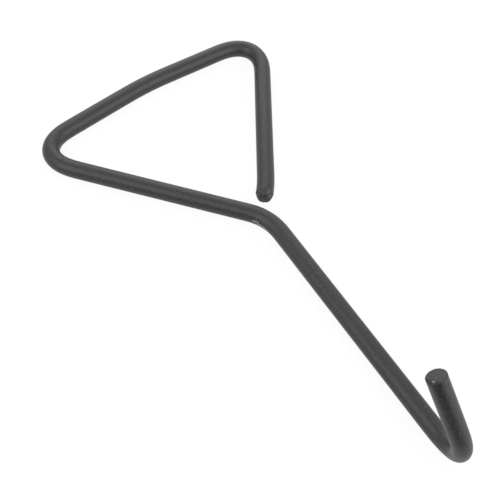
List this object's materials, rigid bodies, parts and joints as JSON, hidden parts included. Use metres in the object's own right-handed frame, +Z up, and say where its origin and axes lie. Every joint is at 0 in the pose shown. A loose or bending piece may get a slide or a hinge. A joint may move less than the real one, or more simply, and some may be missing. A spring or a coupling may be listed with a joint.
{
  "type": "triangle-handled pull hook",
  "caption": "Pull hook bent from a single round steel bar: an open triangular hand loop, a straight shank and a J-shaped hook rising out of the handle's plane.",
  "frame": {"origin": "on the surface the hook lies on, under the middle of its bounding box", "axes": "+X along the shank, from the handle to the hook; +Z up, the side the hook rises on; the handle and the shank lie flat on z = 0"},
  "size_m": [0.2348, 0.1234, 0.0495],
  "materials": {
    "coated_bar": "satin black coating with a fine orange-peel texture, worn in a few small spots"
  },
  "bodies": {
    "root": {"hook_bar": "coated_bar"}
  },
  "joints": []
}
